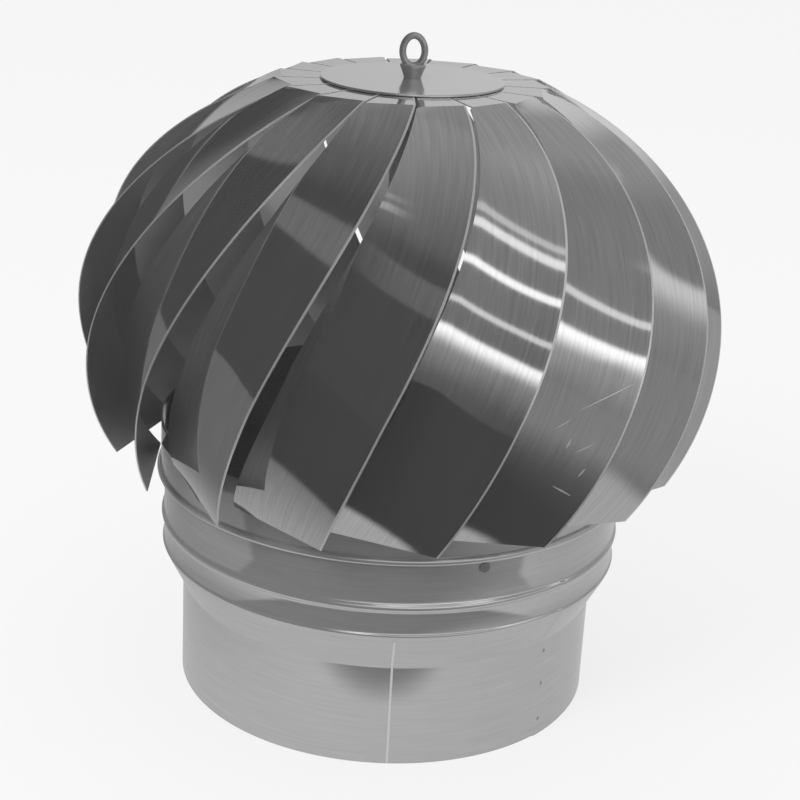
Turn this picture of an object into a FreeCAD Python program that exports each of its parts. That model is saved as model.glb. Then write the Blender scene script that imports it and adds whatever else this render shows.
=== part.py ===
import FreeCAD, Part
import math
import os

# A wind-driven chimney cowl: a fixed base pipe that pushes on to the flue,
# and a globe of slanted blades that turns above it on two ball bearings.
# Millimetres. +Z is up, the origin is the centre of the pipe's lower rim.
# Azimuth 0 is the front, -Y, and azimuth grows towards +X.

Vector = FreeCAD.Vector
UP = Vector(0, 0, 1)

# Base pipe
spigot_radius = 100.0
spigot_height = 49.5
shoulder_height = 18.3
shoulder_flare = 9.4
band_height = 46.0
band_bead_rise = 15.2
band_bead_depth = 1.3
band_bead_width = 6.0
base_sheet = 0.8

# Rotor skirt ring that hangs over the band
ring_clearance = 1.0
ring_sheet = 0.7
ring_lap = 9.6
ring_height = 27.0
hem_depth = 1.8
hem_width = 3.6

# Globe that the free edges of the blades lie on
globe_overhang = 40.6
equator_height = 180.0
crown_rise = 122.0
belly_drop = 133.0

# Blades
blade_count = 17
blade_sheet = 0.6
blade_sweep = 0.37
blade_cover = 0.86
tongue_cover = 0.97
tongue_spread = 6
blade_turn = -1.5
foot_rise = 13.8
foot_tilt = 30.0
foot_gap = 0.15
foot_overrun = 24.0
blade_bends = 13
tongue_end_radius = 30.0

# Discs that hold the blade tongues at the top
disc_radius = 41.6
disc_sheet = 1.0
disc_drop = 8.5
clamp_disc_radius = 40.0
tongue_gap = 0.2

# Shaft and its bearings
shaft_radius = 6.0
shaft_tail = 8.0
collar_radius = 8.4
step_radius = 5.0
stud_radius = 3.0
bearing_radius = 14.0
bearing_width = 8.0
press_gap = 0.01
running_gap = 0.02
collar_gap = 0.1

# Housing that carries the bearings, and its arms
housing_wall = 4.0
housing_foot = 74.0
housing_length = 76.0
arm_count = 3
arm_azimuth = 23.0
arm_width = 18.0
arm_sheet = 3.0
arm_drop = 12.0
arm_tab_height = 22.0
arm_gap = 0.1

# Rivets that fix the arms to the band
rivet_radius = 1.5
rivet_head_radius = 2.3
rivet_head_height = 0.8
rivet_rise = 33.2
rivet_gap = 0.05

# Lock nut below the lower bearing
nut_width = 18.0
nut_height = 6.0
nut_gap = 0.02

# Lifting eye
eye_foot_radius = 4.0
eye_boss_radius = 6.2
eye_boss_height = 6.4
eye_lower_radius = 5.6
eye_upper_radius = 4.2
eye_rise = 3.6
eye_sunk = 2.5
eye_bar = 3.1
eye_thread_gap = 0.02
eye_thread_depth = 3.6

band_radius = spigot_radius + shoulder_flare
shoulder_top = spigot_height + shoulder_height
band_top = shoulder_top + band_height
globe_radius = band_radius + globe_overhang
ring_inner = band_radius + ring_clearance
ring_outer = ring_inner + ring_sheet
ring_lower_edge = band_top - ring_lap
foot_height = ring_lower_edge + foot_rise
disc_top = equator_height + crown_rise - disc_drop
disc_underside = disc_top - disc_sheet
tongue_top = disc_underside - tongue_gap
clamp_top = tongue_top - blade_sheet - tongue_gap
clamp_underside = clamp_top - disc_sheet
housing_radius = bearing_radius + housing_wall
housing_top = housing_foot + housing_length


def polar(radius, azimuth, height):
    """Point at a radius, an azimuth in degrees and a height."""
    turn = math.radians(azimuth)
    return Vector(radius * math.sin(turn), -radius * math.cos(turn), height)


def turned(shape, azimuth):
    """Copy of a shape turned about the vertical axis."""
    copy = shape.copy()
    copy.rotate(Vector(0, 0, 0), UP, azimuth)
    return copy


def panel(corners):
    """Flat face between corners."""
    return Part.Face(Part.makePolygon(corners + corners[:1]))


def revolved(outline):
    """Solid of revolution from a closed outline of (radius, height) points."""
    points = [Vector(radius, 0, height) for radius, height in outline]
    return panel(points).revolve(Vector(0, 0, 0), UP, 360)


def tube(inner, outer, foot, top):
    """Plain ring with a rectangular section."""
    return revolved([(inner, foot), (outer, foot), (outer, top), (inner, top)])


def rod(radius, azimuth, reach_from, reach_to, height):
    """Round rod that points outwards at an azimuth."""
    start = polar(reach_from, azimuth, height)
    return Part.makeCylinder(radius, reach_to - reach_from, start, polar(1, azimuth, 0))


def arm_azimuths():
    return [arm_azimuth + 360 / arm_count * index for index in range(arm_count)]


def base_pipe():
    """Spigot, flared shoulder and band of one sheet, with a raised bead round the band."""
    bead_height = shoulder_top + band_bead_rise
    half = band_bead_width / 2
    wall = [
        (spigot_radius, 0),
        (spigot_radius, spigot_height),
        (band_radius, shoulder_top),
        (band_radius, bead_height - half),
        (band_radius + band_bead_depth, bead_height),
        (band_radius, bead_height + half),
        (band_radius, band_top),
    ]
    inside = [
        (band_radius - base_sheet, band_top),
        (band_radius - base_sheet, shoulder_top),
        (spigot_radius - base_sheet, spigot_height),
        (spigot_radius - base_sheet, 0),
    ]
    pipe = revolved(wall + inside)
    for azimuth in arm_azimuths():
        hole = rod(rivet_radius + rivet_gap, azimuth, spigot_radius, band_radius + rivet_head_height,
                   shoulder_top + rivet_rise)
        pipe = pipe.cut(hole)
    return pipe


def bearing_housing():
    """Plain tube with a bearing pressed into each end."""
    return tube(bearing_radius + press_gap, housing_radius, housing_foot, housing_top)


def bracket_arm(azimuth):
    """Flat strap from the housing to the band, its outer end bent up and riveted."""
    rivet_height = shoulder_top + rivet_rise
    foot = rivet_height - arm_drop
    half = arm_width / 2
    face = tab_face()
    strap = Part.makeBox(arm_width, face, arm_sheet, Vector(-half, -face, foot))
    tab = Part.makeBox(arm_width, arm_sheet, arm_tab_height, Vector(-half, -face, foot))
    inner = Part.makeCylinder(housing_radius + arm_gap, arm_sheet, Vector(0, 0, foot))
    arm = strap.cut(inner).fuse(tab).removeSplitter()
    hole = rod(rivet_radius + rivet_gap, 0, face - 2 * arm_sheet, face + arm_sheet, rivet_height)
    return turned(arm.cut(hole), azimuth)


def tab_face():
    """Distance from the axis to an arm's flat outer face, whose edges meet the round wall."""
    wall = band_radius - base_sheet
    return math.sqrt(wall ** 2 - (arm_width / 2) ** 2) - arm_gap


def arm_rivets():
    """One rivet for each arm, with a round head outside and its tail flush inside."""
    head_foot = band_radius + rivet_gap
    tail = tab_face() - arm_sheet
    outline = [
        (0, tail),
        (rivet_radius, tail),
        (rivet_radius, head_foot),
        (rivet_head_radius, head_foot),
        (rivet_head_radius, head_foot + rivet_head_height),
        (0, head_foot + rivet_head_height),
    ]
    rivet = revolved(outline)
    rivet.rotate(Vector(0, 0, 0), Vector(1, 0, 0), 90)
    rivet.translate(UP * (shoulder_top + rivet_rise))
    return Part.makeCompound([turned(rivet, azimuth) for azimuth in arm_azimuths()])


def ball_bearing(foot):
    """Sealed bearing, bought in as one piece."""
    return tube(shaft_radius + running_gap, bearing_radius, foot, foot + bearing_width)


def rotor_shaft():
    """Stepped shaft: bearing journal, long collar, seat for the top disc, stud for the eye."""
    tail = housing_foot - shaft_tail
    stud_top = disc_top + eye_thread_depth
    return revolved([
        (0, tail),
        (shaft_radius, tail),
        (shaft_radius, housing_top + collar_gap),
        (collar_radius, housing_top + collar_gap),
        (collar_radius, clamp_underside),
        (step_radius, clamp_underside),
        (step_radius, disc_underside),
        (stud_radius, disc_underside),
        (stud_radius, stud_top),
        (0, stud_top),
    ])


def lock_nut():
    """Hexagon nut on the shaft's tail."""
    foot = housing_foot - collar_gap - nut_height
    corner = nut_width / math.sqrt(3)
    points = [polar(corner, 60 * index, foot) for index in range(6)]
    block = panel(points).extrude(UP * nut_height)
    bore = Part.makeCylinder(shaft_radius + nut_gap, nut_height, Vector(0, 0, foot))
    return block.cut(bore)


def clamp_disc():
    """Plate with one flat side for each blade."""
    pitch = 360 / blade_count
    sides = [polar(clamp_disc_radius, pitch * index, clamp_underside) for index in range(blade_count)]
    bore = Part.makeCylinder(step_radius + press_gap, disc_sheet, Vector(0, 0, clamp_underside))
    return panel(sides).extrude(UP * disc_sheet).cut(bore)


def top_disc():
    return tube(stud_radius + press_gap, disc_radius, disc_underside, disc_top)


def skirt_ring():
    """Hoop round the feet of the blades, its lower edge rolled into a hem."""
    return revolved([
        (ring_inner, ring_lower_edge),
        (ring_outer, ring_lower_edge),
        (ring_outer + hem_depth, ring_lower_edge + hem_width / 2),
        (ring_outer, ring_lower_edge + hem_width),
        (ring_outer, ring_lower_edge + ring_height),
        (ring_inner, ring_lower_edge + ring_height),
    ])


def lifting_eye():
    """Pear-shaped eye on a tapered boss, tapped for the shaft's stud."""
    boss_top = disc_top + eye_boss_height
    thread_top = disc_top + eye_thread_depth
    boss = revolved([
        (stud_radius + eye_thread_gap, disc_top),
        (eye_foot_radius, disc_top),
        (eye_boss_radius, boss_top),
        (0, boss_top),
        (0, thread_top),
        (stud_radius + eye_thread_gap, thread_top),
    ])
    lower = Vector(0, 0, boss_top + eye_lower_radius + eye_bar / 2 - eye_sunk)
    upper = lower + UP * eye_rise
    loop = pear(lower, upper, eye_bar / 2).cut(pear(lower, upper, -eye_bar / 2))
    return boss.fuse(loop)


def pear(lower, upper, offset):
    """Solid between two circles and their common tangents, as thick as the eye's bar."""
    big = eye_lower_radius + offset
    small = eye_upper_radius + offset
    lean = math.asin((big - small) / eye_rise)
    side = Vector(math.cos(lean), 0, math.sin(lean))
    mirror = Vector(-side.x, 0, side.z)
    right = [lower + side * big, upper + side * small]
    left = [upper + mirror * small, lower + mirror * big]
    outline = Part.Wire([
        Part.LineSegment(right[0], right[1]).toShape(),
        Part.Arc(right[1], upper + UP * small, left[0]).toShape(),
        Part.LineSegment(left[0], left[1]).toShape(),
        Part.Arc(left[1], lower - UP * big, right[0]).toShape(),
    ])
    face = Part.Face(outline)
    face.translate(Vector(0, -eye_bar / 2, 0))
    return face.extrude(Vector(0, eye_bar, 0))


def globe_drop(latitude):
    return crown_rise if latitude > 0 else belly_drop


def globe_point(latitude):
    """Point of a blade's free edge, which climbs the globe at a steady slant."""
    angle = math.radians(latitude)
    height = equator_height + globe_drop(latitude) * math.sin(angle)
    return polar(globe_radius * math.cos(angle), blade_turn + blade_sweep * latitude, height)


def globe_normal(latitude):
    angle = math.radians(latitude)
    outwards = math.cos(angle) / globe_radius
    upwards = math.sin(angle) / globe_drop(latitude)
    normal = polar(outwards, blade_turn + blade_sweep * latitude, upwards)
    return normal.normalize()


def latitude_of(height):
    rise = height - equator_height
    return math.degrees(math.asin(rise / globe_drop(rise)))


foot_latitude = latitude_of(foot_height)
tongue_latitude = latitude_of(tongue_top)
latitude_step = 0.5
halvings = 40


def blade_share(latitude):
    """How far up the blade a latitude is, from 0 at the foot to 1 at the tongue."""
    return max(0, (latitude - foot_latitude) / (tongue_latitude - foot_latitude))


def blade_width(radius, taper, latitude):
    """Width in proportion to the pitch, fuller towards the tongue and tapered below the equator."""
    cover = blade_cover + (tongue_cover - blade_cover) * blade_share(latitude) ** tongue_spread
    width = cover * 2 * math.pi * radius / blade_count
    if latitude < 0:
        width *= 1 - taper * (latitude / foot_latitude) ** 2
    return width


def blade_section(latitude, taper):
    """Free edge, inner edge and outward normal of the blade at one latitude."""
    edge = globe_point(latitude)
    along = (globe_point(latitude + latitude_step) - globe_point(latitude - latitude_step)).normalize()
    normal = globe_normal(latitude)
    across = normal.cross(along)
    tilt = math.radians(foot_tilt * (1 - blade_share(latitude) ** 2))
    inwards = across * math.cos(tilt) - normal * math.sin(tilt)
    facing = normal * math.cos(tilt) + across * math.sin(tilt)
    width = blade_width(math.hypot(edge.x, edge.y), taper, latitude)
    return edge, edge + inwards * width, facing


def tongue_section(radius):
    """Flat end of the blade between the two discs."""
    azimuth = blade_turn + blade_sweep * tongue_latitude
    edge = polar(radius, azimuth, tongue_top)
    across = polar(1, azimuth - 90, 0)
    return edge, edge + across * blade_width(radius, 0, tongue_latitude), UP


def foot_corner(taper):
    """Latitude at which the blade's inner edge comes down to the foot, and its radius there."""
    high = foot_latitude + foot_overrun
    low = foot_latitude - foot_overrun
    for _ in range(halvings):
        middle = (high + low) / 2
        if blade_section(middle, taper)[1].z > foot_height:
            high = middle
        else:
            low = middle
    corner = blade_section(high, taper)[1]
    return high, math.hypot(corner.x, corner.y)


def foot_taper():
    """Taper that brings the foot's inner corner to the skirt ring."""
    least = -0.4
    most = 1.0
    for _ in range(halvings):
        middle = (least + most) / 2
        if foot_corner(middle)[1] < ring_outer + blade_sheet + foot_gap:
            least = middle
        else:
            most = middle
    return most


def sheet_corners(edge, far_edge, facing, far_facing):
    """Four corners of a section through the sheet, the outer face first."""
    return [edge, far_edge, far_edge - far_facing * blade_sheet, edge - facing * blade_sheet]


def blade():
    """Strip bent and twisted in short steps, with a level foot and a flat tongue."""
    taper = foot_taper()
    inner_foot = foot_corner(taper)[0]
    sections = []
    for index in range(blade_bends):
        share = index / blade_bends
        edge, _, facing = blade_section(foot_latitude + (tongue_latitude - foot_latitude) * share, taper)
        _, far_edge, far_facing = blade_section(inner_foot + (tongue_latitude - inner_foot) * share, taper)
        sections.append(sheet_corners(edge, far_edge, facing, far_facing))
    flat_start = globe_radius * math.cos(math.radians(tongue_latitude))
    for radius in (flat_start, tongue_end_radius):
        edge, far_edge, facing = tongue_section(radius)
        sections.append(sheet_corners(edge, far_edge, facing, facing))
    faces = []
    for end in (sections[0], sections[-1]):
        faces.append(panel(end[:3]))
        faces.append(panel([end[0], end[2], end[3]]))
    for below, above in zip(sections, sections[1:]):
        for near, far in ((0, 1), (3, 2), (0, 3), (1, 2)):
            faces.append(panel([below[near], below[far], above[far]]))
            faces.append(panel([below[near], above[far], above[near]]))
    shell = Part.makeShell(faces)
    shell.sewShape()
    return Part.makeSolid(shell)


def export(name, shape):
    shape.exportStep("parts/%s.step" % name)


os.makedirs("parts", exist_ok=True)

export("base_pipe", base_pipe())
export("bearing_housing", bearing_housing())
for number, azimuth in enumerate(arm_azimuths(), 1):
    export("bracket_arm_%d" % number, bracket_arm(azimuth))
export("arm_rivets", arm_rivets())

lower_bearing = ball_bearing(housing_foot)
upper_bearing = ball_bearing(housing_top - bearing_width)
export("ball_bearings", Part.makeCompound([lower_bearing, upper_bearing]))

export("rotor_shaft", rotor_shaft())
export("lock_nut", lock_nut())
export("clamp_disc", clamp_disc())
export("top_disc", top_disc())
export("lifting_eye", lifting_eye())
export("skirt_ring", skirt_ring())

first_blade = blade()
for index in range(blade_count):
    export("blade_%02d" % (index + 1), turned(first_blade, 360 / blade_count * index))
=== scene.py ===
import math

import bpy
from mathutils import Matrix, Vector


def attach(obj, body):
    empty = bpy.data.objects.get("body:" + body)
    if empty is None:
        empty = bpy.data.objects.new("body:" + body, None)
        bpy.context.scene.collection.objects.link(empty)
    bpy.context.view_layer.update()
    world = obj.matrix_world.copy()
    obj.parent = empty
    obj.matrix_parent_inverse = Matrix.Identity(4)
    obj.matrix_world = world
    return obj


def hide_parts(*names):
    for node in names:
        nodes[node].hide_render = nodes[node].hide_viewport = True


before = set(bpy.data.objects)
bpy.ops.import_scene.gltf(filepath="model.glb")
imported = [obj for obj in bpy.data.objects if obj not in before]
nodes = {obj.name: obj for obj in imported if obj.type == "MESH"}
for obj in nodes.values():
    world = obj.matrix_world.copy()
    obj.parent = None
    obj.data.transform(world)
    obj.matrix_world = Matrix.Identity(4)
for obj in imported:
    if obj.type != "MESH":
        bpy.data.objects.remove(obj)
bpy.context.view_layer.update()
MM = 0.001
UP = Vector((0, 0, 1))

# Sizes of the cowl in millimetres, as in the part's source; turns and tilts are in degrees
SPIGOT_RADIUS = 100.0
SPIGOT_HEIGHT = 49.5
BAND_RADIUS = 109.4
SHOULDER_TOP = 67.8
BAND_TOP = 113.8
BEAD_HEIGHT = 83.0
BEAD_HALF_WIDTH = 3.0
BEAD_DEPTH = 1.3
BASE_SHEET = 0.8
RING_INNER = 110.4
RING_OUTER = 111.1
RING_FOOT = 104.2
RING_TOP = 131.2
HEM_WIDTH = 3.6
GLOBE_RADIUS = 150.0
EQUATOR = 180.0
CROWN_RISE = 122.0
BELLY_DROP = 133.0
BLADE_COUNT = 17
BLADE_SHEET = 0.6
BLADE_SWEEP = 0.37
BLADE_COVER = 0.86
TONGUE_COVER = 0.97
TONGUE_SPREAD = 6
BLADE_TURN = -1.5
FOOT_TILT = 30.0
FOOT_HEIGHT = 118.0
FOOT_GAP = 0.15
FOOT_REACH = RING_OUTER + BLADE_SHEET + FOOT_GAP
TONGUE_TOP = 292.3
TONGUE_END = 30.0
DISC_RADIUS = 41.6
DISC_FOOT = 292.5
DISC_TOP = 293.5
STUD_HOLE = 3.1

# How finely the pieces are divided
PIPE_SEGMENTS = 360
RING_SEGMENTS = 256
DISC_SEGMENTS = 192
EYE_SEGMENTS = 64
BEAD_STEPS = 10
RIM_STEPS = 6
HEM_STEPS = 10
BLADE_STEPS = 64
BLADE_COLUMNS = 11
TONGUE_STEPS = 8
STREAK_COLUMNS = 8
SCRATCH_STEPS = 8
HALVINGS = 40

# Millimetres of sheet to one unit of texture
UV_LENGTH = 100


def polar(radius, azimuth, height):
    """Point at a radius, an azimuth from the front in degrees, and a height."""
    turn = math.radians(azimuth)
    return Vector((radius * math.sin(turn), -radius * math.cos(turn), height))


# Mesh helpers

def mesh_object(name, points, faces, uvs=None, sharp=()):
    """Smooth-shaded mesh from points in millimetres, with some edges left sharp."""
    mesh = bpy.data.meshes.new(name)
    mesh.from_pydata([tuple(Vector(point) * MM) for point in points], [], faces)
    mesh.polygons.foreach_set("use_smooth", [True] * len(mesh.polygons))
    if uvs:
        layer = mesh.uv_layers.new(name="UVMap")
        for loop in mesh.loops:
            layer.data[loop.index].uv = uvs[loop.vertex_index]
    if sharp:
        marks = mesh.attributes.new("sharp_edge", "BOOLEAN", "EDGE")
        for edge in mesh.edges:
            marks.data[edge.index].value = tuple(sorted(edge.vertices)) in sharp
    mesh.validate()
    mesh.update()
    made = bpy.data.objects.new(name, mesh)
    bpy.context.scene.collection.objects.link(made)
    return made


def lathe(name, outline, segments, closed=True, swell=None):
    """Surface of revolution; a repeated point of the outline makes a sharp corner."""
    count = len(outline)
    travelled = [0.0]
    for before, after in zip(outline, outline[1:]):
        travelled.append(travelled[-1] + math.dist(before, after))
    points = []
    uvs = []
    for index in range(segments):
        azimuth = 360 * index / segments
        for step, (radius, height) in enumerate(outline):
            extra = swell(azimuth, radius) if swell else 0.0
            points.append(polar(radius + extra, azimuth, height))
            uvs.append((index / segments, travelled[step] / UV_LENGTH))
    faces = []
    for index in range(segments):
        here = index * count
        there = (index + 1) % segments * count
        for step in range(count if closed else count - 1):
            after = (step + 1) % count
            if outline[step] == outline[after]:
                continue
            faces.append((here + step, there + step, there + after, here + after))
    return mesh_object(name, points, faces, uvs)


def half_round(radius, height, reach):
    """Outline of a half-round hem on a wall, from below upwards, centred on a height."""
    result = []
    for index in range(HEM_STEPS + 1):
        angle = math.radians(-90 + 180 * index / HEM_STEPS)
        result.append((radius + reach * math.cos(angle), height + reach * math.sin(angle)))
    return result


def bead(centre_height, half_width, depth, steps):
    """Outline of a rounded bead on the band, from below upwards."""
    result = []
    for index in range(steps + 1):
        share = index / steps
        rise = depth * (0.5 - 0.5 * math.cos(2 * math.pi * share))
        result.append((BAND_RADIUS + rise, centre_height + half_width * (2 * share - 1)))
    return result


# Shape of the blades

SLOPE_STEP = 0.5
FOOT_SEARCH = 24
TAPER_LEAST = -0.4
TAPER_MOST = 1.0
# Width of the strip at the free edge that gets the paler edge colour, a painted highlight
EDGE_STRIP = 0.9


def globe_drop(latitude):
    """Half height of the globe on this side of its equator."""
    return CROWN_RISE if latitude > 0 else BELLY_DROP


def globe_point(latitude):
    """Point of the first blade's free edge on the globe."""
    angle = math.radians(latitude)
    height = EQUATOR + globe_drop(latitude) * math.sin(angle)
    return polar(GLOBE_RADIUS * math.cos(angle), BLADE_TURN + BLADE_SWEEP * latitude, height)


def latitude_of(height):
    """Latitude of the globe at a height."""
    rise = height - EQUATOR
    return math.degrees(math.asin(rise / globe_drop(rise)))


FOOT_LATITUDE = latitude_of(FOOT_HEIGHT)
TONGUE_LATITUDE = latitude_of(TONGUE_TOP)


def blade_share(latitude):
    """How far up the blade a latitude is, from 0 at the foot to 1 at the tongue."""
    return max(0, (latitude - FOOT_LATITUDE) / (TONGUE_LATITUDE - FOOT_LATITUDE))


def blade_width(radius, taper, latitude):
    """Width of the sheet: a share of the blades' pitch, tapered towards the foot."""
    cover = BLADE_COVER + (TONGUE_COVER - BLADE_COVER) * blade_share(latitude) ** TONGUE_SPREAD
    width = cover * 2 * math.pi * radius / BLADE_COUNT
    if latitude < 0:
        width *= 1 - taper * (latitude / FOOT_LATITUDE) ** 2
    return width


def blade_section(latitude, taper):
    """Free edge, inner edge and outward normal of the blade at one latitude."""
    angle = math.radians(latitude)
    edge = globe_point(latitude)
    lengthwise = (globe_point(latitude + SLOPE_STEP) - globe_point(latitude - SLOPE_STEP)).normalized()
    normal = polar(math.cos(angle) / GLOBE_RADIUS, BLADE_TURN + BLADE_SWEEP * latitude,
                   math.sin(angle) / globe_drop(latitude)).normalized()
    sideways = normal.cross(lengthwise)
    tilt = math.radians(FOOT_TILT * (1 - blade_share(latitude) ** 2))
    inwards = sideways * math.cos(tilt) - normal * math.sin(tilt)
    facing = normal * math.cos(tilt) + sideways * math.sin(tilt)
    width = blade_width(math.hypot(edge.x, edge.y), taper, latitude)
    return edge, edge + inwards * width, facing


def foot_corner(taper):
    """Latitude at which the inner edge comes down to the foot, and its radius there."""
    high = FOOT_LATITUDE + FOOT_SEARCH
    low = FOOT_LATITUDE - FOOT_SEARCH
    for _ in range(HALVINGS):
        middle = (high + low) / 2
        if blade_section(middle, taper)[1].z > FOOT_HEIGHT:
            high = middle
        else:
            low = middle
    corner = blade_section(high, taper)[1]
    return high, math.hypot(corner.x, corner.y)


def foot_taper():
    """Taper that brings the inner corner of the foot to the skirt ring."""
    least = TAPER_LEAST
    most = TAPER_MOST
    for _ in range(HALVINGS):
        middle = (least + most) / 2
        if foot_corner(middle)[1] < FOOT_REACH:
            least = middle
        else:
            most = middle
    return most


def blade_stations():
    """Free and inner edge with their normals, from the foot up to the end of the tongue."""
    taper = foot_taper()
    inner_foot = foot_corner(taper)[0]
    result = []
    for index in range(BLADE_STEPS):
        share = index / BLADE_STEPS
        edge, _, facing = blade_section(FOOT_LATITUDE + (TONGUE_LATITUDE - FOOT_LATITUDE) * share, taper)
        _, far, far_facing = blade_section(inner_foot + (TONGUE_LATITUDE - inner_foot) * share, taper)
        result.append((edge, far, facing, far_facing))
    start = GLOBE_RADIUS * math.cos(math.radians(TONGUE_LATITUDE))
    azimuth = BLADE_TURN + BLADE_SWEEP * TONGUE_LATITUDE
    for index in range(TONGUE_STEPS + 1):
        radius = start + (TONGUE_END - start) * index / TONGUE_STEPS
        edge = polar(radius, azimuth, TONGUE_TOP)
        far = edge + polar(1, azimuth - 90, 0) * blade_width(radius, 0, TONGUE_LATITUDE)
        result.append((edge, far, UP, UP))
    return result


def column_share(column, width):
    """Share of the blade's width: a narrow strip at the free edge, which takes the painted edge highlight,
    then even columns.
    """
    if column == 0:
        return 0
    strip = EDGE_STRIP / width
    return strip + (1 - strip) * (column - 1) / (BLADE_COLUMNS - 1)


def blade_turn(number):
    """Rotation of a blade about the axis, counted from 1."""
    return Matrix.Rotation(math.radians(360 / BLADE_COUNT * (number - 1)), 3, "Z")


def blade_mesh(name, stations, number):
    """One blade as a thin closed sheet: outer faces, inner faces, and edges in a paler colour as a painted
    highlight.
    """
    spin = blade_turn(number)
    points = []
    uvs = []
    length = 0.0
    before = None
    for edge, far, facing, far_facing in stations:
        if before is not None:
            length += (edge - before).length
        before = edge
        width = (far - edge).length
        for side in (0, 1):
            for column in range(BLADE_COLUMNS + 1):
                share = column_share(column, width)
                point = edge.lerp(far, share)
                normal = facing.lerp(far_facing, share).normalized()
                points.append(spin @ (point - normal * BLADE_SHEET * side))
                uvs.append((share * width / UV_LENGTH, length / UV_LENGTH))
    back = BLADE_COLUMNS + 1
    row = 2 * back
    faces = []
    inner_faces = []
    edge_faces = []
    sharp = set()
    for index in range(len(stations) - 1):
        low = index * row
        high = low + row
        for column in range(BLADE_COLUMNS):
            a = low + column
            b = a + 1
            c = high + column
            d = c + 1
            if column == 0:
                edge_faces.append(len(faces))
            faces.append((a, c, d, b))
            inner_faces.append(len(faces))
            faces.append((b + back, d + back, c + back, a + back))
            if index == BLADE_STEPS:
                sharp.add((a, b))
                sharp.add((a + back, b + back))
        for column in (0, BLADE_COLUMNS):
            a = low + column
            c = high + column
            side_face = (a, a + back, c + back, c)
            edge_faces.append(len(faces))
            faces.append(side_face if column == 0 else side_face[::-1])
            sharp.add((a, c))
            sharp.add((a + back, c + back))
    for first, flip in ((0, False), ((len(stations) - 1) * row, True)):
        for column in range(BLADE_COLUMNS):
            a = first + column
            b = a + 1
            end_face = (a, b, b + back, a + back)
            faces.append(end_face[::-1] if flip else end_face)
            sharp.add((a, b))
            sharp.add((a + back, b + back))
    made = mesh_object(name, points, faces, uvs, sharp)
    for material in (blade_steel, inner_steel, edge_glint_steel):
        made.data.materials.append(material)
    for index in inner_faces:
        made.data.polygons[index].material_index = 1
    for index in edge_faces:
        made.data.polygons[index].material_index = 2
    return made


# Scratches on one front blade: start and end, in millimetres across and along it, and the width
SCRATCHED_BLADE = 3
SCRATCH_RISE = 0.06
SCRATCH_TIP = 0.1
LONG_SCRATCH = ((24, 73), (3, 84), 0.6)
UPPER_NICK = ((31, 65), (26, 69), 0.7)
MIDDLE_NICK = ((22, 55), (22, 60), 1.0)
SHORT_SCRATCH = ((17, 53), (11, 57), 0.7)
LOWER_SCRATCH = ((18, 36), (8, 31), 0.7)
FOOT_NICK = ((10, 41), (9, 45), 0.9)
SCRATCHES = (LONG_SCRATCH, UPPER_NICK, MIDDLE_NICK, SHORT_SCRATCH, LOWER_SCRATCH, FOOT_NICK)


def blade_point(stations, across, along):
    """Point and normal of the outer face, from distances to the free edge and along it from the foot."""
    for here, above in zip(stations, stations[1:]):
        step = (above[0] - here[0]).length
        if along <= step:
            break
        along -= step
    rise = along / step
    edge, far, facing, far_facing = [low.lerp(high, rise) for low, high in zip(here, above)]
    share = across / (far - edge).length
    return edge.lerp(far, share), facing.lerp(far_facing, share).normalized()


def scratch_mesh(name, stations, number):
    """Thin bright marks on a blade's outer face, narrow at their ends."""
    spin = blade_turn(number)
    points = []
    faces = []
    for (across, along), (across_end, along_end), width in SCRATCHES:
        first = len(points)
        run = Vector((across_end - across, along_end - along)).normalized() * width / 2
        for index in range(SCRATCH_STEPS + 1):
            share = index / SCRATCH_STEPS
            swell = math.sin(math.pi * (SCRATCH_TIP + (1 - 2 * SCRATCH_TIP) * share))
            for side in (-swell, swell):
                here = across + (across_end - across) * share + run.y * side
                up_here = along + (along_end - along) * share - run.x * side
                point, normal = blade_point(stations, here, up_here)
                points.append(spin @ (point + normal * SCRATCH_RISE))
        for index in range(SCRATCH_STEPS):
            low = first + 2 * index
            faces.append((low, low + 1, low + 3, low + 2))
    return mesh_object(name, points, faces)


# Materials

GRAIN_SCALE = 6
GRAIN_DETAIL = 6
WAVE_SCALE = 14
WAVE_DETAIL = 1


def new_material(name, grey, metallic, roughness):
    """Principled material; values that are the same all over go on the shader's own sockets."""
    made = bpy.data.materials.new(name)
    made.use_nodes = True
    shader = made.node_tree.nodes["Principled BSDF"]
    shader.inputs["Base Color"].default_value = (grey, grey, grey, 1)
    shader.inputs["Metallic"].default_value = metallic
    shader.inputs["Roughness"].default_value = roughness
    return made


def noise(tree, where, scale, detail):
    """Noise texture at a scale, read at some coordinates."""
    made = tree.nodes.new("ShaderNodeTexNoise")
    made.inputs["Scale"].default_value = scale
    made.inputs["Detail"].default_value = detail
    tree.links.new(where, made.inputs["Vector"])
    return made.outputs["Fac"]


def spread(tree, source, low, high):
    """Value from 0 to 1, spread over a range."""
    made = tree.nodes.new("ShaderNodeMapRange")
    made.inputs["To Min"].default_value = low
    made.inputs["To Max"].default_value = high
    tree.links.new(source, made.inputs["Value"])
    return made.outputs["Result"]


def relief(tree, height, depth):
    """Bump of a depth in metres."""
    made = tree.nodes.new("ShaderNodeBump")
    made.inputs["Strength"].default_value = 1
    made.inputs["Distance"].default_value = depth
    tree.links.new(height, made.inputs["Height"])
    return made


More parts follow.
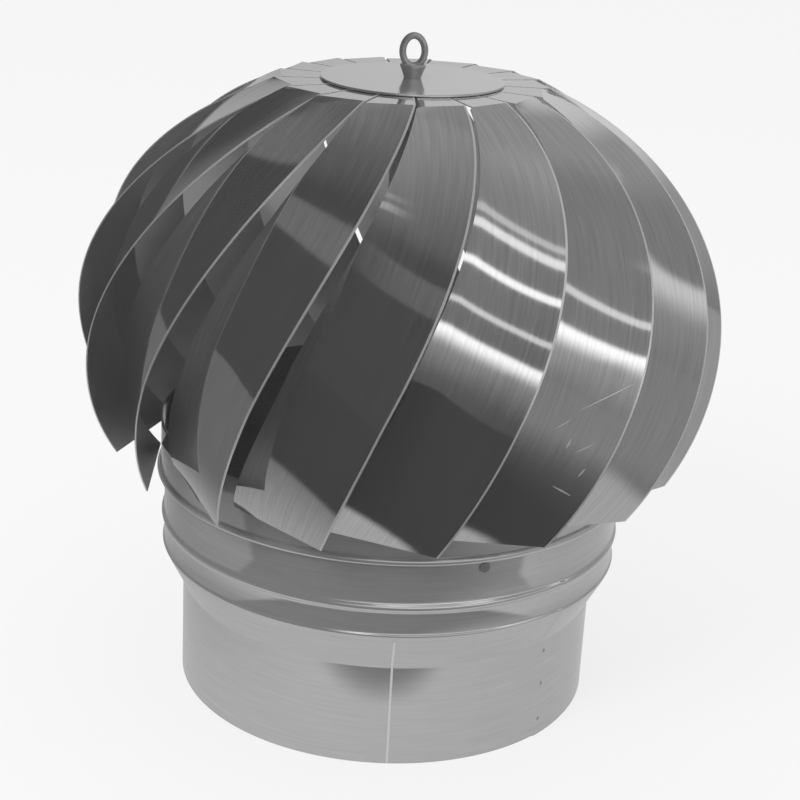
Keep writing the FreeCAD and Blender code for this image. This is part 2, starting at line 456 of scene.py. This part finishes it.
def metal(name, metallic, grain, greys, roughness, grain_depth, wave_depth):
    """Metal with fine lines or grain, soft waves and uneven polish; depths are in metres."""
    material = new_material(name, sum(greys) / 2, metallic, sum(roughness) / 2)
    coordinates, stretch = grain
    tree = material.node_tree
    shader = tree.nodes["Principled BSDF"]
    where = tree.nodes.new("ShaderNodeTexCoord")
    stretched = tree.nodes.new("ShaderNodeMapping")
    stretched.inputs["Scale"].default_value = stretch
    tree.links.new(where.outputs[coordinates], stretched.inputs["Vector"])
    lines = noise(tree, stretched.outputs["Vector"], GRAIN_SCALE, GRAIN_DETAIL)
    shade = spread(tree, lines, *greys)
    colour = tree.nodes.new("ShaderNodeCombineColor")
    for socket in ("Red", "Green", "Blue"):
        tree.links.new(shade, colour.inputs[socket])
    tree.links.new(colour.outputs["Color"], shader.inputs["Base Color"])
    tree.links.new(spread(tree, lines, *roughness), shader.inputs["Roughness"])
    wavy = relief(tree, noise(tree, where.outputs["Object"], WAVE_SCALE, WAVE_DETAIL), wave_depth)
    fine = relief(tree, lines, grain_depth)
    tree.links.new(wavy.outputs["Normal"], fine.inputs["Normal"])
    tree.links.new(fine.outputs["Normal"], shader.inputs["Normal"])
    return material


# Kinds of grain: the coordinates that it follows, and how they are stretched
BRUSHED_LENGTHWISE = ("UV", (14, 0.5, 1))
BRUSHED_ROUND = ("UV", (3, 14, 1))
TURNED = ("Object", (20, 20, 300))
GRAINED = ("Object", (300, 300, 300))
CAST = ("Object", (120, 120, 120))
RIPPLED = ("Object", (1, 1, 150))

# Name, share of metal, grain, darkest and palest grey, least and most roughness, depth of grain and of waves
blade_steel = metal("blade_steel", 0.96, BRUSHED_LENGTHWISE, (0.48, 0.74), (0.03, 0.1), 0.000002, 0.0005)
inner_steel = metal("inner_steel", 0.75, BRUSHED_LENGTHWISE, (0.56, 0.64), (0.3, 0.4), 0.000001, 0.0003)
# Paler, less metallic grey on the free edges: a painted highlight where the edges catch the light
edge_glint_steel = metal("edge_glint_steel", 0.75, BRUSHED_LENGTHWISE, (0.7, 0.8), (0.3, 0.4), 0.000001, 0.0001)
scratch_metal = metal("scratch_metal", 0.7, GRAINED, (0.62, 0.78), (0.35, 0.45), 0.000002, 0.0001)
pipe_steel = metal("pipe_steel", 0.72, BRUSHED_ROUND, (0.53, 0.7), (0.04, 0.1), 0.000001, 0.0004)
# Paler, half-metallic grey on the raised line down the spigot: a painted highlight for the bright streak
# there
streak_highlight_metal = metal("streak_highlight_metal", 0.4, RIPPLED, (0.66, 0.8), (0.35, 0.45), 0.00001, 0.0001)
disc_steel = metal("disc_steel", 0.85, BRUSHED_ROUND, (0.61, 0.67), (0.1, 0.14), 0.0000005, 0.0002)
machined = metal("machined", 1, TURNED, (0.46, 0.54), (0.25, 0.35), 0.000002, 0.0001)
bearing = metal("bearing", 1, TURNED, (0.64, 0.72), (0.14, 0.22), 0.000001, 0.0001)
# Darker metal on the rivet heads and spot welds; the extra darkness is painted shade for the dark ring and
# dark reflection round the heads
rivet_metal = metal("rivet_metal", 0.92, GRAINED, (0.36, 0.48), (0.3, 0.4), 0.00001, 0.0001)
eye_metal = metal("eye_metal", 0.85, CAST, (0.44, 0.56), (0.3, 0.4), 0.00003, 0.0001)


def dress(made, material, slot_name, body, *replaced):
    """Hangs a piece on its body, hides the nodes it stands for, and adds the given material, if any; the
    slot name is not used.
    """
    if material:
        made.data.materials.append(material)
    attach(made, body)
    if replaced:
        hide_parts(*replaced)


# Fixed base

# Detail that only the scene has, in millimetres; azimuths, the lap and the inset are in degrees
WALL_RINGS = (16.0, 32.0)
LOWER_FOLD = ((0.0, -1.0), (0.1, 0.0), (0.55, 1.2))
UPPER_FOLD = ((-0.5, -1.1), (-0.1, -0.2))
RIM_LIFT = 1.6
RIM_HALF_WIDTH = 1.5
RIM_DEPTH = 0.7
BAND_RING = 95.0
SEAM_AZIMUTH = 46.6
SEAM_LAP = 14.0
SEAM_RISE = 0.55
SEAM_MARGIN = 0.1
# Bright streak down the spigot: a slightly raised line whose paler colour is a painted highlight
STREAK_AZIMUTH = 3.0
STREAK_WIDTH = 1.0
STREAK_RISE = 0.15
STREAK_FOOT = 0.4
STREAK_STOP = 1.6
SPOT_HEIGHTS = (8.4, 27.3, 44.2)
SPOT_INSET = 1.6
SPOT_LIFT = 0.35
SPOT_RADIUS = 1.1
SPOT_RISE = 0.3


def dome(name, azimuth, height, wall, radius, rise, segments=24, rings=5):
    """Low round boss on an upright round wall."""
    out = polar(1, azimuth, 0)
    side = polar(1, azimuth + 90, 0)
    centre = polar(wall, azimuth, height)
    points = [centre + out * rise]
    faces = [(0, 1 + index, 1 + (index + 1) % segments) for index in range(segments)]
    for ring_index in range(1, rings + 1):
        lean = math.pi / 2 * ring_index / rings
        for index in range(segments):
            turn = 2 * math.pi * index / segments
            flat = side * math.cos(turn) + UP * math.sin(turn)
            points.append(centre + out * rise * math.cos(lean) + flat * radius * math.sin(lean))
    for ring_index in range(rings - 1):
        here = 1 + ring_index * segments
        there = here + segments
        for index in range(segments):
            after = (index + 1) % segments
            faces.append((here + index, there + index, there + after, here + after))
    return mesh_object(name, points, faces)


def wall_radius(height):
    """Radius of the base's wall from the spigot up to the shoulder."""
    share = (height - SPIGOT_HEIGHT) / (SHOULDER_TOP - SPIGOT_HEIGHT)
    return SPIGOT_RADIUS + (BAND_RADIUS - SPIGOT_RADIUS) * min(1, max(0, share))


def highlight_streak_line(name, heights):
    """Slightly raised line on the spigot and the shoulder, through some heights; its paler colour is a
    painted highlight.
    """
    points = []
    faces = []
    for step, height in enumerate(heights):
        radius = wall_radius(height)
        for column in range(STREAK_COLUMNS + 1):
            share = column / STREAK_COLUMNS
            turn = math.degrees(STREAK_WIDTH * (share - 0.5) / radius)
            lifted = radius + STREAK_RISE * math.sin(math.pi * share)
            points.append(polar(lifted, STREAK_AZIMUTH + turn, height))
        if step:
            low = (step - 1) * (STREAK_COLUMNS + 1)
            high = step * (STREAK_COLUMNS + 1)
            for column in range(STREAK_COLUMNS):
                faces.append((low + column, low + column + 1, high + column + 1, high + column))
    return mesh_object(name, points, faces)


def seam(azimuth, radius):
    """Lapped sheet: the outside stands out at the seam and falls back over the lap."""
    into = (azimuth - SEAM_AZIMUTH) % 360
    if into > SEAM_LAP or radius < SPIGOT_RADIUS - SEAM_MARGIN:
        return 0.0
    return SEAM_RISE * (1 - into / SEAM_LAP)


outside = [(SPIGOT_RADIUS, 0.0), (SPIGOT_RADIUS, 0.0)]
outside += [(SPIGOT_RADIUS, height) for height in WALL_RINGS]
outside += [(SPIGOT_RADIUS + out, SPIGOT_HEIGHT + rise) for out, rise in LOWER_FOLD]
outside += [(BAND_RADIUS + out, SHOULDER_TOP + rise) for out, rise in UPPER_FOLD]
outside += bead(SHOULDER_TOP + RIM_LIFT, RIM_HALF_WIDTH, RIM_DEPTH, RIM_STEPS)
outside += bead(BEAD_HEIGHT, BEAD_HALF_WIDTH, BEAD_DEPTH, BEAD_STEPS)
outside += [(BAND_RADIUS, BAND_RING), (BAND_RADIUS, BAND_TOP), (BAND_RADIUS, BAND_TOP)]
inside = [(BAND_RADIUS - BASE_SHEET, BAND_TOP), (BAND_RADIUS - BASE_SHEET, BAND_TOP)]
inside += [(BAND_RADIUS - BASE_SHEET, SHOULDER_TOP), (SPIGOT_RADIUS - BASE_SHEET, SPIGOT_HEIGHT)]
inside += [(SPIGOT_RADIUS - BASE_SHEET, 0.0), (SPIGOT_RADIUS - BASE_SHEET, 0.0)]
pipe = lathe("pipe_shell", outside + inside, PIPE_SEGMENTS, swell=seam)
dress(pipe, pipe_steel, "pipe_sheet", "base", "base_pipe")
# Raised line down the spigot in a paler colour, a painted highlight
bright_streak = highlight_streak_line("bright_streak_ridge", (STREAK_FOOT, SPIGOT_HEIGHT, SHOULDER_TOP - STREAK_STOP))
dress(bright_streak, streak_highlight_metal, "pipe_sheet", "base")
for index, height in enumerate(SPOT_HEIGHTS):
    spot = dome("spot_weld_%d" % (index + 1), SEAM_AZIMUTH + SPOT_INSET, height,
                SPIGOT_RADIUS + SPOT_LIFT, SPOT_RADIUS, SPOT_RISE)
    dress(spot, rivet_metal, "pipe_sheet", "base")

# CAD nodes that are kept as they are, with their materials
carried_over = {
    "bearing_housing": machined,
    "bracket_arm_1": machined,
    "bracket_arm_2": machined,
    "bracket_arm_3": machined,
    "arm_rivets": rivet_metal,
    "ball_bearings": bearing,
    "rotor_shaft": machined,
    "lock_nut": machined,
    "clamp_disc": disc_steel,
}
for name, material in carried_over.items():
    nodes[name].data.materials.clear()
    nodes[name].data.materials.append(material)

# Turning head

DISC_CHAMFER = 0.2
DISC_FLAT = 0.6

ring_outline = [(RING_INNER, RING_FOOT)]
ring_outline += half_round(RING_OUTER, RING_FOOT + HEM_WIDTH / 2, HEM_WIDTH / 2)
ring_outline += [(RING_OUTER, RING_FOOT + HEM_WIDTH), (RING_OUTER, RING_TOP), (RING_OUTER, RING_TOP)]
ring_outline += [(RING_INNER, RING_TOP), (RING_INNER, RING_TOP), (RING_INNER, RING_FOOT)]
ring = lathe("skirt_hoop", ring_outline, RING_SEGMENTS)
dress(ring, pipe_steel, "pipe_sheet", "rotor", "skirt_ring")

disc_outline = [(STUD_HOLE, DISC_FOOT), (DISC_RADIUS, DISC_FOOT), (DISC_RADIUS, DISC_FOOT)]
disc_outline += [(DISC_RADIUS, DISC_TOP - DISC_CHAMFER), (DISC_RADIUS - DISC_CHAMFER, DISC_TOP)]
disc_outline += [(DISC_RADIUS - DISC_FLAT, DISC_TOP), (STUD_HOLE, DISC_TOP), (STUD_HOLE, DISC_TOP)]
disc = lathe("top_plate", disc_outline, DISC_SEGMENTS)
dress(disc, disc_steel, "disc_sheet", "rotor", "top_disc")

blade_lines = blade_stations()
for number in range(1, BLADE_COUNT + 1):
    node = "blade_%02d" % number
    sheet = blade_mesh("sheet_" + node, blade_lines, number)
    dress(sheet, None, "blade_sheet", "rotor", node)

scratched = scratch_mesh("scratch_marks", blade_lines, SCRATCHED_BLADE)
dress(scratched, scratch_metal, "blade_sheet", "rotor")

# Lifting eye: outline of its boss as radius and height above the disc, and the pear-shaped loop

BOSS_FOOT = ((0.0, 0.02), (3.9, 0.02), (3.9, 0.02), (4.1, 0.8))
BOSS_HEAD = ((5.0, 3.4), (5.8, 5.2), (5.9, 5.8), (5.5, 6.3), (4.4, 6.4), (0.0, 6.4))
LOOP_LOWER = 304.55
LOOP_UPPER = 308.15
LOOP_WIDE = 5.6
LOOP_NARROW = 4.2
LOOP_WIRE = 1.55
LOOP_ROUNDING = 6

boss_outline = [(radius, DISC_TOP + rise) for radius, rise in BOSS_FOOT + BOSS_HEAD]
eye_boss = lathe("eye_boss", boss_outline, EYE_SEGMENTS, closed=False)
path = bpy.data.curves.new("eye_loop", "CURVE")
path.dimensions = "3D"
path.bevel_depth = LOOP_WIRE * MM
path.bevel_resolution = LOOP_ROUNDING
spline = path.splines.new("POLY")
spline.points.add(EYE_SEGMENTS - 1)
spline.use_cyclic_u = True
for index, point in enumerate(spline.points):
    angle = 2 * math.pi * index / EYE_SEGMENTS
    share = 0.5 + 0.5 * math.sin(angle)
    reach = LOOP_WIDE + (LOOP_NARROW - LOOP_WIDE) * share
    height = LOOP_LOWER + (LOOP_UPPER - LOOP_LOWER) * share + reach * math.sin(angle)
    point.co = (reach * math.cos(angle) * MM, 0.0, height * MM, 1)
eye_loop = bpy.data.objects.new("eye_loop", path)
bpy.context.scene.collection.objects.link(eye_loop)
dress(eye_boss, eye_metal, "eye_metal", "rotor", "lifting_eye")
dress(eye_loop, eye_metal, "eye_metal", "rotor")


# Studio: pale floor, soft light, and a room for the metal to mirror

def ramp(tree, source, span, low, high):
    """Smooth change of a value from low to high over a span of another one."""
    node = tree.nodes.new("ShaderNodeMapRange")
    node.interpolation_type = "SMOOTHSTEP"
    node.inputs["From Min"].default_value = span[0]
    node.inputs["From Max"].default_value = span[1]
    node.inputs["To Min"].default_value = low
    node.inputs["To Max"].default_value = high
    tree.links.new(source, node.inputs["Value"])
    return node.outputs["Result"]


def combine(tree, kind, first, second):
    """Result of one sum on two values, each a number or a node's output."""
    node = tree.nodes.new("ShaderNodeMath")
    node.operation = kind
    for socket, value in zip(node.inputs, (first, second)):
        if isinstance(value, (int, float)):
            socket.default_value = value
        else:
            tree.links.new(value, socket)
    return node.outputs["Value"]


def times(tree, *values):
    """Product of several values."""
    result = values[0]
    for value in values[1:]:
        result = combine(tree, "MULTIPLY", result, value)
    return result


def plus(tree, *values):
    """Sum of several values."""
    result = values[0]
    for value in values[1:]:
        result = combine(tree, "ADD", result, value)
    return result


def component(tree, where, direction):
    """How far a position or direction points along another one."""
    node = tree.nodes.new("ShaderNodeVectorMath")
    node.operation = "DOT_PRODUCT"
    node.inputs[1].default_value = direction
    tree.links.new(where, node.inputs[0])
    return node.outputs["Value"]


def towards(tree, where, azimuth, elevation, wide, edge):
    """Round soft patch of the room in a direction; all are degrees."""
    flat = math.cos(math.radians(elevation))
    value = component(tree, where, polar(flat, azimuth, math.sin(math.radians(elevation))))
    span = (math.cos(math.radians(wide + edge)), math.cos(math.radians(wide)))
    return ramp(tree, value, span, 0, 1)


def stripe(tree, source, centre, half, edge):
    """Band of a value, with soft edges."""
    rise = ramp(tree, source, (centre - half - edge, centre - half), 0, 1)
    fall = ramp(tree, source, (centre + half, centre + half + edge), 1, 0)
    return times(tree, rise, fall)


def mirrored_rays(tree, rays):
    """1 for the rays that metal mirrors or glass lets through."""
    return combine(tree, "MAXIMUM", rays.outputs["Is Glossy Ray"], rays.outputs["Is Transmission Ray"])


def mixed(tree, share, first, second):
    """Shader that goes from the first to the second by a share."""
    node = tree.nodes.new("ShaderNodeMixShader")
    tree.links.new(share, node.inputs["Fac"])
    tree.links.new(first, node.inputs[1])
    tree.links.new(second, node.inputs[2])
    return node.outputs["Shader"]


# Floor: spans are places in metres, where the pale sheet in the floor's painted glow for metal ends, and how
# bright the glow is beyond
RIGHT = (1, 0, 0)
BACK = (0, 1, 0)
FLOOR_SIZE = 12
FLOOR_DROP = 0.0002
FLOOR_GREY = 0.9
FLOOR_ROUGHNESS = 0.9
FLOOR_WHITE = 0.75
SHEET_TONE = 0.55
SHEET_LEFT = (-0.32, -0.06)
SHEET_LEFT_SHARE = 0.25
SHEET_RIGHT = (0.2, 0.36)
SHEET_RIGHT_SHARE = 0.5
SHEET_FRONT = (-0.171, -0.152)
BEYOND = (0.08, 0.36)
BEYOND_LEFT_TONE = 0.05
BEYOND_RIGHT_TONE = 0.3


def plain_floor(material):
    """White to the camera apart from the soft shadow; for metal the floor glows as a painted pale sheet in a
    dimmer room.
    """
    tree = material.node_tree
    rays = tree.nodes.new("ShaderNodeLightPath")
    place = tree.nodes.new("ShaderNodeNewGeometry").outputs["Position"]
    sideways = component(tree, place, RIGHT)
    depth = component(tree, place, BACK)
    sheet = times(tree, ramp(tree, sideways, SHEET_LEFT, SHEET_LEFT_SHARE, 1),
                  ramp(tree, depth, SHEET_FRONT, 0, 1),
                  ramp(tree, sideways, SHEET_RIGHT, 1, SHEET_RIGHT_SHARE))
    beyond = ramp(tree, sideways, BEYOND, BEYOND_LEFT_TONE, BEYOND_RIGHT_TONE)
    uncovered = combine(tree, "SUBTRACT", 1, sheet)
    tone = plus(tree, times(tree, sheet, SHEET_TONE), times(tree, uncovered, beyond))
    # Painted glow seen only in reflections: the pale sheet and the dimmer room around it
    mirrored = tree.nodes.new("ShaderNodeEmission")
    tree.links.new(tone, mirrored.inputs["Strength"])
    white = tree.nodes.new("ShaderNodeEmission")
    white.inputs["Strength"].default_value = 1
    painted = tree.nodes["Principled BSDF"].outputs["BSDF"]
    whiteness = times(tree, rays.outputs["Is Camera Ray"], FLOOR_WHITE)
    to_camera = mixed(tree, whiteness, painted, white.outputs["Emission"])
    surface = mixed(tree, mirrored_rays(tree, rays), to_camera, mirrored.outputs["Emission"])
    tree.links.new(surface, tree.nodes["Material Output"].inputs["Surface"])


floor_paint = new_material("floor_paint", FLOOR_GREY, 0, FLOOR_ROUGHNESS)
plain_floor(floor_paint)
bpy.ops.mesh.primitive_plane_add(size=FLOOR_SIZE, location=(0, 0, -FLOOR_DROP))
floor = bpy.context.object
floor.name = "floor"
floor.data.materials.append(floor_paint)

# Room: spans are components of a direction, patches are azimuth, elevation, half width and soft edge in
# degrees, and stripes are centre, half width and soft edge along the leaning upright of the lit panels
SKY_WHITE = 1
SOFT_LIGHT = 0.75
PANEL_UP = (0.131, -0.034, 0.991)
ROOM_SPAN = (-0.45, 0.35)
ROOM_LEFT_TONE = 0.06
ROOM_RIGHT_TONE = 0.38
CEILING_SPAN = (0.84, 0.92)
CEILING_TONE = 0.05
BACK_PATCH = (180, 10, 16, 18)
BACK_TONE = 0.35
FRONT_RIGHT = (0.82, -0.57, 0)
FRONT_RIGHT_SPAN = (0.05, 0.45)
FRONT_RIGHT_SHADE = 0.72
PANEL_PEAK_SPAN = (0.29, 0.435)
PANEL_PEAK = 1.2
PANEL_TAIL_SPAN = (0.05, 0.42)
PANEL_TAIL = 0.22
PANEL_TOP_SPAN = (0.445, 0.475)
SLIT_STRIPE = (0.607, 0.01, 0.01)
SLIT_TONE = 0.8
FAR_RIGHT_SPAN = (0.72, 0.9)
FAR_RIGHT_SHARE = 0.4
TUBES_PATCH = (28, 54, 16, 16)
LOWER_TUBE = (0.795, 0.009, 0.012)
LOWER_TUBE_TONE = 1.4
MIDDLE_TUBE = (0.912, 0.007, 0.008)
MIDDLE_TUBE_TONE = 1.0
UPPER_TUBE = (0.943, 0.004, 0.005)
UPPER_TUBE_TONE = 0.5
SHELF_STRIPE = (0.73, 0.055, 0.02)
SHELF_PATCH = (-95, 45, 28, 20)
SHELF_TONE = 0.13


def room_tone(tree):
    """Brightness of the room that the metal mirrors: dim on the left, with lit panels on the front right."""
    where = tree.nodes.new("ShaderNodeTexCoord").outputs["Generated"]
    height = component(tree, where, PANEL_UP)
    upright = component(tree, where, UP)
    sideways = component(tree, where, RIGHT)
    room = ramp(tree, sideways, ROOM_SPAN, ROOM_LEFT_TONE, ROOM_RIGHT_TONE)
    room = plus(tree, room, ramp(tree, upright, CEILING_SPAN, 0, CEILING_TONE))
    room = plus(tree, room, times(tree, towards(tree, where, *BACK_PATCH), BACK_TONE))
    front_right = ramp(tree, component(tree, where, FRONT_RIGHT), FRONT_RIGHT_SPAN, 0, 1)
    room = times(tree, room, ramp(tree, front_right, (0, 1), 1, FRONT_RIGHT_SHADE))
    peak = ramp(tree, height, PANEL_PEAK_SPAN, 0, 1)
    tail = ramp(tree, height, PANEL_TAIL_SPAN, 0, PANEL_TAIL)
    panel = plus(tree, times(tree, peak, peak, PANEL_PEAK), tail)
    panel = times(tree, panel, ramp(tree, height, PANEL_TOP_SPAN, 1, 0))
    slit = times(tree, stripe(tree, height, *SLIT_STRIPE), SLIT_TONE)
    far_right = ramp(tree, sideways, FAR_RIGHT_SPAN, 1, FAR_RIGHT_SHARE)
    room = plus(tree, room, times(tree, front_right, far_right, plus(tree, panel, slit)))
    tubes = plus(tree, times(tree, stripe(tree, height, *LOWER_TUBE), LOWER_TUBE_TONE),
                 times(tree, stripe(tree, height, *MIDDLE_TUBE), MIDDLE_TUBE_TONE),
                 times(tree, stripe(tree, height, *UPPER_TUBE), UPPER_TUBE_TONE))
    room = plus(tree, room, times(tree, towards(tree, where, *TUBES_PATCH), tubes))
    shelf = times(tree, stripe(tree, upright, *SHELF_STRIPE), towards(tree, where, *SHELF_PATCH), SHELF_TONE)
    return plus(tree, room, shelf)


def studio(tree):
    """White to the camera, soft light on the object, and a dim room with lit panels for the metal."""
    for node in list(tree.nodes):
        tree.nodes.remove(node)
    rays = tree.nodes.new("ShaderNodeLightPath")
    seen = tree.nodes.new("ShaderNodeBackground")
    mirrored = tree.nodes.new("ShaderNodeBackground")
    soft_light = tree.nodes.new("ShaderNodeBackground")
    for node in (seen, mirrored, soft_light):
        node.inputs["Color"].default_value = (1, 1, 1, 1)
    seen.inputs["Strength"].default_value = SKY_WHITE
    soft_light.inputs["Strength"].default_value = SOFT_LIGHT
    tree.links.new(room_tone(tree), mirrored.inputs["Strength"])
    on_object = mixed(tree, mirrored_rays(tree, rays), soft_light.outputs["Background"],
                      mirrored.outputs["Background"])
    surface = mixed(tree, rays.outputs["Is Camera Ray"], on_object, seen.outputs["Background"])
    out = tree.nodes.new("ShaderNodeOutputWorld")
    tree.links.new(surface, out.inputs["Surface"])


world = bpy.data.worlds.new("studio")
bpy.context.scene.world = world
world.use_nodes = True
studio(world.node_tree)

# Soft lamp at the upper left, in metres and watts; the metal doesn't mirror it
LAMP_PLACE = Vector((-0.9, -1.3, 1.5))
LAMP_AIM = Vector((0, 0, 0.15))
LAMP_SIZE = 0.8
LAMP_POWER = 14

lamp_light = bpy.data.lights.new("key_lamp", "AREA")
lamp_light.shape = "SQUARE"
lamp_light.size = LAMP_SIZE
lamp_light.energy = LAMP_POWER
key_lamp = bpy.data.objects.new("key_lamp", lamp_light)
key_lamp.location = LAMP_PLACE
key_lamp.rotation_euler = (LAMP_AIM - LAMP_PLACE).to_track_quat("-Z", "Y").to_euler()
key_lamp.visible_glossy = False
bpy.context.scene.collection.objects.link(key_lamp)

# Camera at the photograph's viewing angle: place in millimetres, pitch downwards and roll in degrees
CAMERA_PLACE = (2.3, -800.1, 431.7)
CAMERA_PITCH = 20.09
CAMERA_ROLL = 3.11
CAMERA_LENS = 79.94
CAMERA_SENSOR = 36

pitch = math.radians(CAMERA_PITCH)
roll = math.radians(CAMERA_ROLL)
level_right = Vector(RIGHT)
level_up = Vector((0, math.sin(pitch), math.cos(pitch)))
ahead = Vector((0, math.cos(pitch), -math.sin(pitch)))
rolled_right = level_right * math.cos(roll) + level_up * math.sin(roll)
rolled_up = level_up * math.cos(roll) - level_right * math.sin(roll)
lens = bpy.data.cameras.new("camera")
lens.sensor_width = CAMERA_SENSOR
lens.lens = CAMERA_LENS
camera = bpy.data.objects.new("camera", lens)
camera.matrix_world = Matrix((
    (rolled_right.x, rolled_up.x, -ahead.x, CAMERA_PLACE[0] * MM),
    (rolled_right.y, rolled_up.y, -ahead.y, CAMERA_PLACE[1] * MM),
    (rolled_right.z, rolled_up.z, -ahead.z, CAMERA_PLACE[2] * MM),
    (0, 0, 0, 1),
))
bpy.context.scene.collection.objects.link(camera)
bpy.context.scene.camera = camera
bpy.context.scene.view_settings.view_transform = "Standard"
